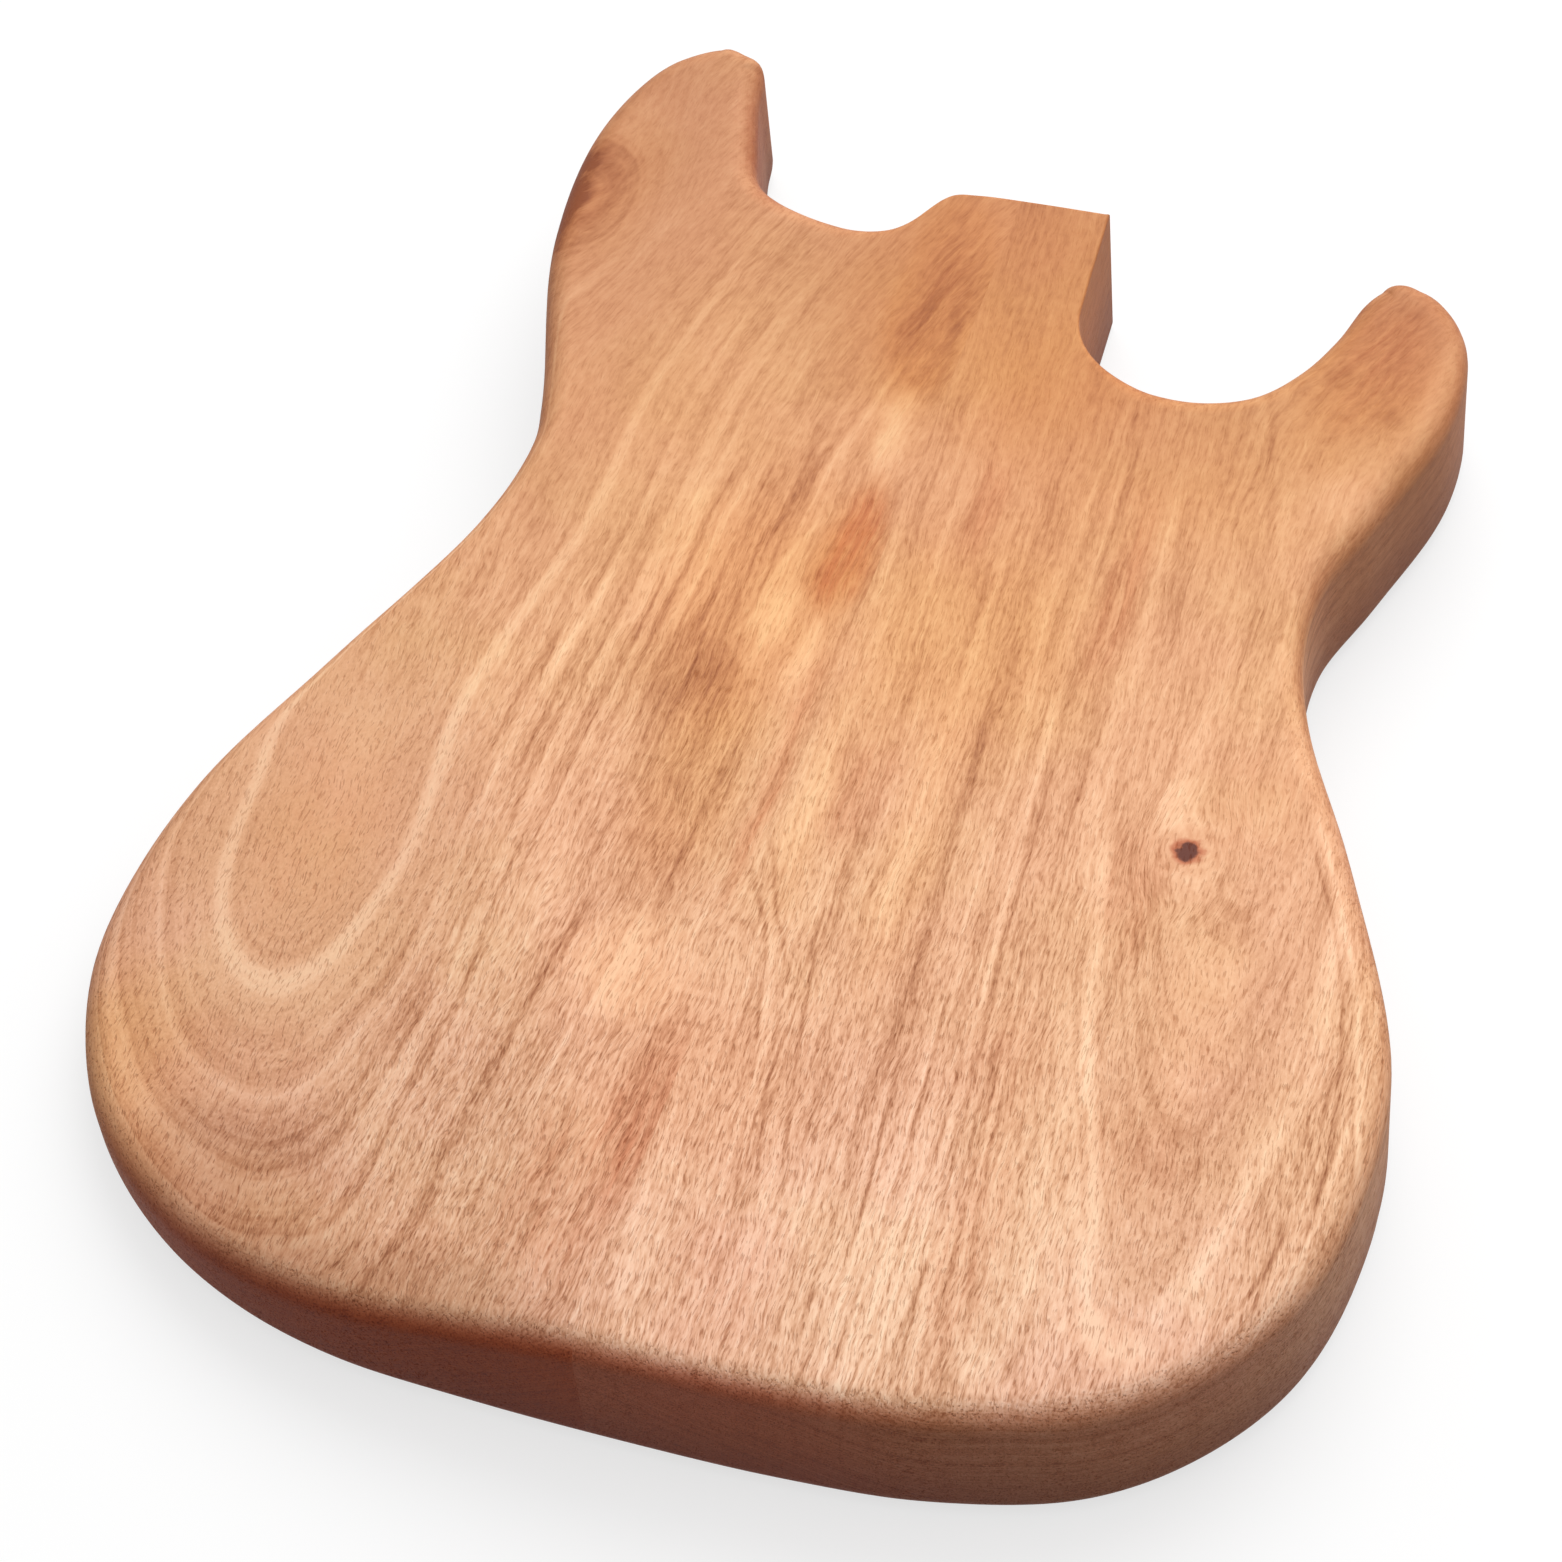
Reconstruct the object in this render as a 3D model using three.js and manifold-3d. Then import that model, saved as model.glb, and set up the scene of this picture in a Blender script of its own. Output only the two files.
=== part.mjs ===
// Bare solid body for a double-cutaway electric guitar, two boards glued edge to edge.
// Millimetres, +Z out of the front face, +Y towards the neck, +X the treble side.
// The back face lies on z = 0 and the body's box is centred over the origin.

import * as THREE from 'three';
import { mergeVertices } from 'three/addons/utils/BufferGeometryUtils.js';
import Module from 'manifold-3d';

const wasm = await Module();
wasm.setup();

// Overall sizes.
const bodyLength = 407;
const bodyWidth = 324.4;
const bodyThickness = 45;

// The neck heel stands square between the two cutaways, and the bass horn reaches past it.
const heelWidth = 63;
const hornOverhang = 41;
const heelReach = bodyLength - hornOverhang;

// Round-over on the front and back edges, and the small easing on the heel's crisp edges.
// The crisp stretch is a share of the heel's half width to each side, and fades out beyond.
const edgeRadius = 7.1;
const heelEase = 1;
const crispBassShare = -0.44;
const crispTrebleShare = 1.05;
const crispFade = 24;

// Where the outline bends tightly, the round-over is at most this share of the bend's radius.
const bendShare = 0.6;

// Forearm contour: a bevel on the front that starts on a slanted line across the bass bout.
const armLineAngle = 25;
const armLineShift = 8;
const armBlend = 22;
const armFallShare = 0.222;

// Belly cut: a scoop in the back edge at the bass waist.
const bellyDepth = 12;
const bellyReach = 56;
const bellyInset = 46;
const bellyHeight = 268;
const bellyHalfLength = 104;

// The glue seam leans a little: its distance from the centreline at the tail and at the heel.
const seamAtTail = -8.7;
const seamAtHeel = 7.5;

// Fineness of the curves.
const stepsPerSpan = 5;
const stepsPerEdge = 5;
const stepsPerBend = 3;
const surfaceSpacing = 11;
const spanOverrun = 20;

// Outline points, counter-clockwise from the heel's square corner, across and along.
// Heel points are shares of the heel's half width and its reach, the others of the body's.
const heelStartShares = [
  [1, 1],
  [0.38, 1],
  [-0.15, 0.9985],
  [-0.363, 0.9945],
  [-0.658, 0.964],
];
const bodyShares = [
  [-0.163, 0.8597],
  [-0.266, 0.862],
  [-0.361, 0.8747],
  [-0.4, 0.888],
  [-0.4255, 0.92],
  [-0.448, 0.955],
  [-0.4655, 0.988],
  [-0.529, 0.9995],
  [-0.603, 0.985],
  [-0.649, 0.9625],
  [-0.7, 0.903],
  [-0.699, 0.805],
  [-0.619, 0.676],
  [-0.607, 0.638],
  [-0.653, 0.56],
  [-0.804, 0.461],
  [-0.947, 0.368],
  [-1.009, 0.288],
  [-1.015, 0.224],
  [-0.959, 0.155],
  [-0.877, 0.107],
  [-0.754, 0.064],
  [-0.62, 0.0355],
  [-0.456, 0.0165],
  [-0.243, 0.0075],
  [0, 0.002],
  [0.245, 0],
  [0.457, 0.005],
  [0.673, 0.027],
  [0.818, 0.067],
  [0.928, 0.126],
  [0.979, 0.202],
  [0.975, 0.297],
  [0.844, 0.432],
  [0.731, 0.525],
  [0.693, 0.58],
  [0.695, 0.63],
  [0.752, 0.691],
  [0.821, 0.774],
  [0.8235, 0.833],
  [0.795, 0.861],
  [0.748, 0.88],
  [0.7045, 0.8852],
  [0.67, 0.8815],
  [0.64, 0.868],
  [0.608, 0.832],
  [0.564, 0.799],
  [0.505, 0.7745],
  [0.424, 0.763],
  [0.336, 0.764],
];
const heelEndShares = [
  [1.32, 0.8607],
  [1.13, 0.8752],
  [1.03, 0.895],
  [1.01, 0.924],
  [1, 1],
];

const woodColours = { bass: 0xcf9a73, treble: 0xd7a27a };

const smooth = (t) => t * t * (3 - 2 * t);
const clamp01 = (t) => Math.min(Math.max(t, 0), 1);

// How far the forearm contour lowers the front face at a place.
function frontDrop(x, y) {
  const angle = THREE.MathUtils.degToRad(armLineAngle);
  const past = armLineShift - x * Math.cos(angle) - y * Math.sin(angle);
  if (past <= 0) return 0;
  if (past < armBlend) return (armFallShare * past * past) / (2 * armBlend);
  return armFallShare * (past - armBlend / 2);
}

// How far the belly cut raises the back face at a place.
function backRise(x, y) {
  const along = clamp01(Math.abs(y - bellyHeight) / bellyHalfLength);
  const across = clamp01((-x - bellyInset) / bellyReach);
  return bellyDepth * across * across * (1 - smooth(along));
}

// The round-over's radius at a place on the edge.
function radiusAt(x, y) {
  if (y < heelReach / 2) return edgeRadius;
  const half = heelWidth / 2;
  const past = Math.max(crispBassShare * half - x, x - crispTrebleShare * half);
  return THREE.MathUtils.lerp(heelEase, edgeRadius, smooth(clamp01(past / crispFade)));
}

// The radius of the outward bend through three points, endless where they turn inwards.
function bendRadius(before, here, after) {
  const [ax, ay] = [here.x - before.x, here.y - before.y];
  const [bx, by] = [after.x - here.x, after.y - here.y];
  const turn = ax * by - ay * bx;
  if (turn <= 0) return Infinity;
  return (Math.hypot(ax, ay) * Math.hypot(bx, by) * Math.hypot(ax + bx, ay + by)) / (2 * turn);
}

// Points, outward normals and edge radii along the outline.
function bodyOutline() {
  const toHeel = ([x, y]) => [x * heelWidth / 2, y * heelReach];
  const toBody = ([x, y]) => [x * bodyWidth / 2, y * bodyLength];
  const places = [
    ...heelStartShares.map(toHeel),
    ...bodyShares.map(toBody),
    ...heelEndShares.map(toHeel),
  ];
  const curve = new THREE.CatmullRomCurve3(
    places.map(([x, y]) => new THREE.Vector3(x, y, 0)), false, 'centripetal');
  const count = (places.length - 1) * stepsPerSpan;
  const samples = [];
  for (let i = 0; i < count; i += 1) {
    const { x, y } = curve.getPoint(i / count);
    samples.push({ x, y, radius: radiusAt(x, y) });
  }
  samples.forEach((sample, i) => {
    const before = samples[(i + count - 1) % count];
    const after = samples[(i + 1) % count];
    const length = Math.hypot(after.x - before.x, after.y - before.y);
    sample.nx = (after.y - before.y) / length;
    sample.ny = -(after.x - before.x) / length;
    const start = samples[(i + count - stepsPerBend) % count];
    const end = samples[(i + stepsPerBend) % count];
    sample.radius = Math.min(sample.radius, bendShare * bendRadius(start, sample, end));
  });
  return samples;
}

// One ring of points round the body, part way up the front or the back round-over.
function edgeRing(samples, onFront, turn) {
  return samples.map(({ x, y, nx, ny, radius }) => {
    const inset = radius * (1 - Math.cos(turn));
    const lift = radius * (1 - Math.sin(turn));
    const px = x - nx * inset;
    const py = y - ny * inset;
    const pz = onFront ? bodyThickness - frontDrop(px, py) - lift : backRise(px, py) + lift;
    return [px, py, pz];
  });
}

// Whether a place lies inside a closed ring of points.
function inside(ring, x, y) {
  let result = false;
  ring.forEach(([ax, ay], i) => {
    const [bx, by] = ring[(i + ring.length - 1) % ring.length];
    if ((ay > y) !== (by > y) && x < ((bx - ax) * (y - ay)) / (by - ay) + ax) result = !result;
  });
  return result;
}

// Whether a place comes so near one of the ring's edges that triangles would cut across it.
function crowds(ring, x, y) {
  return ring.some(([ax, ay], i) => {
    const [bx, by] = ring[(i + ring.length - 1) % ring.length];
    return (x - ax) * (x - bx) + (y - ay) * (y - by) < surfaceSpacing ** 2 / 4;
  });
}

// Extra surface points where a contour bends the face, in staggered rows.
function facePoints(ring, heightAt, flatHeight) {
  const points = [];
  let odd = false;
  for (let y = 0; y < bodyLength; y += surfaceSpacing) {
    odd = !odd;
    for (let x = -bodyWidth; x < bodyWidth; x += surfaceSpacing) {
      const px = odd ? x : x + surfaceSpacing / 2;
      const bent = [-1, 0, 1].some((k) => heightAt(px + k * surfaceSpacing, y) !== flatHeight);
      if (bent && inside(ring, px, y) && !crowds(ring, px, y)) points.push([px, y]);
    }
  }
  return points;
}

// Delaunay triangles of a set of points, keeping those inside the first ones' ring.
function fillRing(ring, extra) {
  const points = [...ring, ...extra];
  const far = bodyLength * spanOverrun;
  const all = [...points, [-far, -far], [far, -far], [0, far]];
  const circle = (a, b, c) => {
    const [ax, ay] = all[a];
    const bx = all[b][0] - ax;
    const by = all[b][1] - ay;
    const cx = all[c][0] - ax;
    const cy = all[c][1] - ay;
    const d = 2 * (bx * cy - by * cx);
    const ux = (cy * (bx * bx + by * by) - by * (cx * cx + cy * cy)) / d;
    const uy = (bx * (cx * cx + cy * cy) - cx * (bx * bx + by * by)) / d;
    return { a, b, c, x: ax + ux, y: ay + uy, reach: ux * ux + uy * uy };
  };
  let triangles = [circle(points.length, points.length + 1, points.length + 2)];
  points.forEach(([x, y], i) => {
    const open = new Map();
    triangles = triangles.filter((t) => {
      if ((t.x - x) ** 2 + (t.y - y) ** 2 >= t.reach) return true;
      [[t.a, t.b], [t.b, t.c], [t.c, t.a]].forEach(([from, to]) => {
        if (!open.delete(`${to} ${from}`)) open.set(`${from} ${to}`, [from, to]);
      });
      return false;
    });
    open.forEach(([from, to]) => triangles.push(circle(from, to, i)));
  });
  return triangles.filter(({ a, b, c }) => {
    if (Math.max(a, b, c) >= points.length) return false;
    const x = (all[a][0] + all[b][0] + all[c][0]) / 3;
    const y = (all[a][1] + all[b][1] + all[c][1]) / 3;
    return inside(ring, x, y);
  });
}

// The whole shaped body as one closed surface, before it is parted along the seam.
function bodySurface(samples) {
  const rings = [];
  for (let k = stepsPerEdge; k >= 0; k -= 1) {
    rings.push(edgeRing(samples, true, (k / stepsPerEdge) * (Math.PI / 2)));
  }
  for (let k = 0; k <= stepsPerEdge; k += 1) {
    rings.push(edgeRing(samples, false, (k / stepsPerEdge) * (Math.PI / 2)));
  }
  const positions = rings.flat(2);
  const triangles = [];
  const count = samples.length;
  for (let r = 0; r < rings.length - 1; r += 1) {
    for (let i = 0; i < count; i += 1) {
      const next = (i + 1) % count;
      const upper = r * count;
      const lower = upper + count;
      triangles.push(lower + i, lower + next, upper + next);
      triangles.push(lower + i, upper + next, upper + i);
    }
  }
  const addFace = (ring, start, heightAt, flatHeight, facingUp) => {
    const extra = facePoints(ring, heightAt, flatHeight);
    const first = positions.length / 3;
    extra.forEach(([x, y]) => positions.push(x, y, heightAt(x, y)));
    const place = (i) => (i < count ? start + i : first + i - count);
    fillRing(ring, extra).forEach(({ a, b, c }) => {
      const [p, q, s] = [place(a), place(b), place(c)];
      triangles.push(p, facingUp ? q : s, facingUp ? s : q);
    });
  };
  const frontHeight = (x, y) => bodyThickness - frontDrop(x, y);
  addFace(rings[0], 0, frontHeight, bodyThickness, true);
  addFace(rings.at(-1), (rings.length - 1) * count, backRise, 0, false);
  return new wasm.Manifold(new wasm.Mesh({
    numProp: 3,
    vertProperties: new Float32Array(positions),
    triVerts: new Uint32Array(triangles),
  }));
}

// A large block whose bass-side face is the plane of the glue seam.
function seamBlock() {
  const side = bodyLength * 2;
  const block = new THREE.BoxGeometry(side, side * 2, side);
  block.deleteAttribute('normal');
  block.deleteAttribute('uv');
  block.translate(side / 2, 0, 0);
  block.rotateZ(-Math.atan2(seamAtHeel - seamAtTail, heelReach));
  block.translate(seamAtTail, 0, 0);
  const merged = mergeVertices(block);
  return new wasm.Manifold(new wasm.Mesh({
    numProp: 3,
    vertProperties: new Float32Array(merged.attributes.position.array),
    triVerts: new Uint32Array(merged.index.array),
  }));
}

function boardMesh(name, solid, colour) {
  const { vertProperties, triVerts } = solid.getMesh();
  const geometry = new THREE.BufferGeometry();
  geometry.setAttribute('position', new THREE.BufferAttribute(vertProperties, 3));
  geometry.setIndex(new THREE.BufferAttribute(triVerts, 1));
  geometry.computeVertexNormals();
  const wood = new THREE.MeshStandardMaterial({ color: colour, roughness: 0.62, metalness: 0 });
  const mesh = new THREE.Mesh(geometry, wood);
  mesh.name = name;
  return mesh;
}

const samples = bodyOutline();
const body = bodySurface(samples);
const trebleSide = seamBlock();

const guitarBody = new THREE.Group();
guitarBody.add(boardMesh('bass_board', body.subtract(trebleSide), woodColours.bass));
guitarBody.add(boardMesh('treble_board', body.intersect(trebleSide), woodColours.treble));

const xs = samples.map(({ x }) => x);
const ys = samples.map(({ y }) => y);
guitarBody.position.set(
  -(Math.min(...xs) + Math.max(...xs)) / 2, -(Math.min(...ys) + Math.max(...ys)) / 2, 0);

export default guitarBody;
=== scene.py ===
"""Looks of a bare, sanded electric guitar body, glued up from two mahogany boards."""
import math
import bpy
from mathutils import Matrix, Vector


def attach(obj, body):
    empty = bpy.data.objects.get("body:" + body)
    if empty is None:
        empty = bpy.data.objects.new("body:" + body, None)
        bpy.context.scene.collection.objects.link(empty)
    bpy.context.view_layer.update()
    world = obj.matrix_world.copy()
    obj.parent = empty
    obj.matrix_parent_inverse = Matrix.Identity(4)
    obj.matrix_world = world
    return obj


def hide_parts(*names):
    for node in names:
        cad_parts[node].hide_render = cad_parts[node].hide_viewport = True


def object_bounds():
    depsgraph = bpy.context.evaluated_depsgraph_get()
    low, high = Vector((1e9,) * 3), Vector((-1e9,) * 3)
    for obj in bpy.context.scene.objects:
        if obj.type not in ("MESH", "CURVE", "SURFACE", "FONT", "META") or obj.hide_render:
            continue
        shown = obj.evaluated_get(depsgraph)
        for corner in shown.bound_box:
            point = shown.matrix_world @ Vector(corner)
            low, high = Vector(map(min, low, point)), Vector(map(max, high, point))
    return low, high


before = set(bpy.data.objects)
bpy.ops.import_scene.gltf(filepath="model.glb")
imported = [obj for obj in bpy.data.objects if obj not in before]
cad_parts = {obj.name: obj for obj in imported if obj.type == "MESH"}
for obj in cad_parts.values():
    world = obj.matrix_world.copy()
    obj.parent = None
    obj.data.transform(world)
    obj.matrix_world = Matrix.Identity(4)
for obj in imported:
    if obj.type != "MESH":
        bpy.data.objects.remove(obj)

from types import SimpleNamespace

import bpy
from mathutils import Matrix, Vector

cad_low, cad_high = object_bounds()
thickness = cad_high.z

# The camera, as fitted to the photograph: square image, no shift.
camera_place = (0.26721, -0.73344, 1.06595)
camera_aim = (-0.0015, -0.0368, 0.045)
camera_roll = math.radians(-6.82)
camera_lens = 118.19

# The neck's centreline and the tail's edge, from which the contours are measured.
neck_centre = 0.00264
tail_line = -0.20337

# Round-over on the edges, and the crisp heel beside which it fades out.
edge_radius = 0.0071
edge_segments = 8
heel_ease = 0.001
heel_corner_angle = math.radians(30)
crisp_bass = -0.0139
crisp_treble = 0.0331
crisp_fade = 0.024

# A tight bend of the outline, measured over some corners each way, limits the round-over.
bend_share = 0.5
bend_reach = 9

# Curve pieces between two points of the outline, and the narrow rim round each flat side.
wire_fineness = 3
flat_rim = 0.0003

# Forearm contour on the front, and belly cut on the back.
arm_angle = math.radians(25)
arm_shift = 0.008
arm_blend = 0.022
arm_fall = 0.222
arm_step = 0.002
belly_depth = 0.012
belly_reach = 0.056
belly_inset = 0.046
belly_height = 0.268
belly_half_length = 0.104
belly_step = 0.008

# The glue seam's distance from the centreline at the tail and at the heel's end.
seam_tail = -0.0087
seam_heel = 0.0075
heel_reach = 0.366

# The studio: a dome that is brightest overhead and behind, a soft lamp, and a white floor.
bright_side = (0.12, 0.5, 0.85)
dome_turn = (0.15, 0.95)
dome_low = 0.02
dome_high = 1.2
lamp_place = (0.2, 1.0, 1.5)
lamp_size = 1.6
lamp_power = 19
floor_size = 8
floor_gap = 0.0005
floor_seen = (0.98, 0.98, 0.98, 1)
floor_for_light = (0.16, 0.14, 0.13, 1)
floor_glow = 0.7

# The wood's figure is measured in millimetres from the centreline, the tail and the back.
per_metre = 1000
plan_length = 420

# Growth rings dip into the board's depth, and the contour's drop draws the figure aside and back.
ring_dip = 350
line_dip = 2.2
drawn_aside = 0.367
drawn_back = -0.6

# Bass board: where the nested loops are centred and end, and how the lines lean (along, across).
loop_middle = [(0, -88), (25, -95), (60, -106), (100, -110.5), (136, -110.5), (160, -111),
               (175, -110), (190, -107), (207, -103), (225, -99), (247, -95.7), (280, -92.4),
               (300, -86.8), (325, -79), (350, -74), (420, -66)]
loop_span = (-120, -60)
loop_end = 130
loop_length = 2.25
loops_to_lines = (-85, -45)
bass_lean = [(0, -12.5), (47, -8.1), (130, 0), (160, 2.8), (258, 10), (291, 14.6), (336, 27.8),
             (366, 40), (420, 62)]
lean_span = (-20, 70)
seam_rings = 111

# Treble board: arches with their middle, top and bluntness, a fan of lines, and the horn's grain.
arch_middle = 118
arch_squeeze = 1.65
arch_top = 180
arch_blunt = 12
lines_to_arches = (65, 95)
fan_slope = 0.033
fan_spread = -0.00105
fan_level = 155
treble_horn_lean = [(0, 0), (265, 0), (290, 2.5), (320, 11), (345, 23), (420, 60)]
horn_side = (75, 110)

# How light each growth ring is, as stops of (ring, level).
ring_span = 130
bass_levels = [(0, 0.52), (12, 0.48), (17, 0.48), (19.4, 0.48), (20.6, 0.84), (22.6, 0.82),
               (24, 0.55), (27.5, 0.5), (33, 0.47), (34.6, 0.34), (35.2, 0.56), (36.1, 0.66),
               (37.2, 0.5), (43, 0.4), (44.8, 0.4), (46.2, 0.62), (48, 0.57), (50.5, 0.46),
               (52, 0.36), (53.2, 0.6), (56, 0.49), (60, 0.56), (65, 0.47), (69, 0.45), (72, 0.53),
               (78, 0.45), (84, 0.54), (90, 0.47), (97, 0.54), (104, 0.46), (112, 0.5)]
treble_levels = [(0, 0.52), (17, 0.47), (22, 0.56), (27, 0.47), (38, 0.46), (40, 0.48), (42, 0.6),
                 (44, 0.58), (48, 0.48), (55, 0.46), (57, 0.38), (60, 0.56), (63, 0.52), (65, 0.4),
                 (67, 0.58), (73, 0.46), (77, 0.38), (79, 0.48), (84, 0.54), (89, 0.46), (94, 0.54),
                 (98, 0.44), (105, 0.54), (112, 0.5)]

# Single veins, each with its half width, its strength and its points (along, across).
vein_end = 14
bass_veins = [
    (2.6, -0.18, [(5, -60), (15, -57), (30, -53.5), (50, -51), (70, -48.5), (90, -46), (105, -43.5),
                  (118, -41.5)]),
    (1.5, 0.3, [(68, -35), (80, -33.5), (92, -31)]),
    (2.4, 0.2, [(105, -78), (130, -76), (150, -74.5), (170, -72), (190, -69), (215, -66)]),
    (1.3, -0.2, [(100, -63), (125, -62), (150, -60.5), (175, -58)]),
    (2.2, 0.18, [(20, -76), (40, -71), (60, -68), (85, -69), (105, -69)]),
    (1.8, 0.24, [(212, -54), (228, -52), (246, -50)]),
    (1.5, -0.24, [(214, -48), (232, -46), (254, -43)]),
    (1.8, 0.26, [(212, -44), (230, -42), (250, -39)]),
    (2.4, -0.16, [(200, -31), (220, -31), (238, -28), (262, -23)]),
    (1.8, 0.26, [(214, -26), (228, -23), (240, -19)]),
    (1.8, 0.28, [(268, -18), (282, -15), (296, -11)]),
    (4, -0.09, [(300, -10), (325, -8), (345, -7), (366, -7)]),
    (3.4, -0.1, [(292, 3), (308, 2), (325, 0)])]
treble_veins = [
    (2.8, 0.26, [(36, 105.5), (45, 102.5), (60, 100), (75, 97), (90, 92), (105, 88)]),
    (3, 0.36, [(105, 88), (120, 85.5), (140, 83), (158, 80)]),
    (3.8, 0.26, [(40, 121.5), (50, 125.5), (68, 131), (82, 134.5), (95, 137), (110, 139.5),
                 (125, 139.5), (150, 138)]),
    (1.6, 0.3, [(90, 156), (100, 153.5), (115, 150.5), (130, 147), (145, 143), (160, 138),
                (175, 132)]),
    (1.2, -0.24, [(75, 150), (100, 148), (115, 146), (130, 143), (150, 138.5), (170, 131)]),
    (1.2, -0.24, [(50, 139), (65, 143), (85, 146), (105, 145)]),
    (1.2, 0.22, [(45, 144), (60, 148), (80, 151), (95, 151)]),
    (2.2, -0.22, [(20, 40.5), (60, 41.5), (100, 41.5), (150, 40.5), (200, 40.5)]),
    (1.7, 0.2, [(10, 29), (60, 28), (110, 29), (150, 30), (200, 31), (240, 33)]),
    (1.1, -0.3, [(5, 44), (30, 45.5), (60, 46), (90, 45)]),
    (1.1, -0.28, [(5, 50), (40, 52), (80, 52.5), (110, 51)]),
    (1.1, -0.28, [(5, 56), (40, 58.5), (80, 59), (100, 58)]),
    (1.1, -0.26, [(10, 63), (45, 66), (80, 67), (95, 67)]),
    (1.8, 0.2, [(120, 60), (140, 59), (170, 57.5), (200, 56.5)]),
    (1.3, -0.22, [(50, 22), (80, 17.5), (100, 14), (115, 11), (130, 5), (140, 2)]),
    (1.2, -0.2, [(55, 16), (85, 12), (100, 9), (115, 6.5), (128, 2)]),
    (1.3, -0.2, [(60, 27), (80, 24), (100, 20), (120, 17)]),
    (1.8, 0.14, [(70, 14.5), (95, 12), (112, 8.5), (128, 4)]),
    (1.8, -0.16, [(250, 57), (275, 57), (300, 54)]),
    (1.4, 0.2, [(245, 49), (262, 49), (285, 51), (300, 52)]),
    (2.4, -0.16, [(268, 97), (285, 93), (305, 89)])]

# Knots, each with its middle and the half width of the rings round it. Their hearts are all alike.
bass_knots = [(-119, 344, 34)]
treble_knots = [(98.5, 168, 13)]
knot_heart = 3.3
knot_full = 0.4
knot_rim = 1.5
knot_below = (2, 4)
knot_halo_width = 0.7
knot_stretch = 0.7
knot_ring_full = 0.35
knot_pull = -0.55
knot_pull_spread = (1.4, 2)

# Patches, each with its middle, half width, half length, lean in degrees and strength.
# Pale ones lighten the wood or, below 0, darken it. Calm ones hide streaks. Lined ones show rings.
# A patch reaches its full strength at a share of the way in from its edge.
patch_full = 0.75
patch_depth = 32
bass_pale = [(-6, 280, 7, 20, -4, 0.38), (-20, 215, 8, 20, -10, 0.42), (-10, 206, 5, 16, -10, 0.25),
             (-50, 235, 10, 34, -6, 0.12), (-38, 198, 22, 24, -25, -0.12),
             (-32, 178, 18, 36, -8, -0.1), (-24, 150, 20, 50, 0, -0.1), (-25, 104, 22, 20, 0, 0.32),
             (-10, 66, 9, 30, 0, -0.12), (-26, 258, 9, 26, -10, -0.12), (-6, 241, 11, 27, -3, -0.08),
             (-114, 342, 9, 24, -5, -0.65), (-106, 345, 13, 30, -8, -0.12),
             (-99, 370, 11, 16, -10, 0.24), (-86, 330, 5, 26, -20, 0.12), (-60, 130, 22, 60, 0, 0.08),
             (-5, 325, 15, 50, 0, -0.1), (-101, 41, 22, 12, 0, -0.14), (-110, 68, 24, 12, 0, -0.06),
             (-112, 140, 24, 56, 0, 0.08)]
# Red patches are the wood's own tone, except the one at (-65, 378), which is painted shade on the horn's
# inner wall.
bass_red = [(-6, 241, 11, 29, -3, 0.8), (-6, 322, 13, 42, 0, 0.25), (-10, 66, 12, 34, 0, 0.45),
            (-22, 40, 24, 40, 0, 0.4), (-6, 165, 5, 50, -2, 0.5), (-36, 190, 20, 36, -12, 0.1),
            (-108, 342, 12, 34, -8, 0.2), (-112, 120, 26, 50, 0, 0.2), (-60, 20, 40, 30, 0, 0.2),
            (-108, 60, 30, 24, 0, 0.2), (-65, 378, 10, 36, 14, 0.9)]
bass_amber = [(0, 335, 50, 75, 0, 0.8), (-26, 220, 42, 60, 0, 0.75), (-145, 40, 40, 60, 0, 0.8),
              (-104, 350, 22, 44, -8, 0.4), (-25, 104, 24, 22, 0, 0.45), (-112, 135, 24, 40, 0, 0.25),
              (-26, 160, 20, 50, 0, 0.5), (0, 75, 40, 40, 0, 0.3), (-105, 20, 50, 20, 0, 0.4),
              (-6, 241, 11, 29, -3, 0.5), (-6, 325, 16, 48, 0, 0.7)]
# Shade patches are mostly painted shade: on the forearm contour and the tail's edge, on the horn's inner
# wall, over the waist and the top. A few are the wood's own darker tone.
bass_painted_shade = [(-118, 6, 70, 42, 20, 0.75), (-55, 0, 70, 24, 0, 0.8), (-105, 380, 40, 50, 0, 0.2),
              (-22, 325, 34, 50, 0, 0.2), (-24, 150, 24, 60, 0, 0.1), (-95, 310, 40, 110, 0, 0.26),
              (-38, 195, 24, 30, -20, 0.2), (-65, 378, 10, 36, 14, 0.9), (-88, 225, 26, 50, 0, 0.2)]
bass_calm = [(-118, 100, 60, 120, 0, 1), (-100, 350, 50, 75, 0, 1), (-70, 265, 40, 70, 0, 0.5),
             (-15, 330, 60, 80, 0, 0.4)]
bass_lined = [(-35, 235, 34, 50, 0, 1), (-60, 140, 26, 90, 0, 0.3), (-78, 70, 20, 60, 0, 0.5)]
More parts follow.
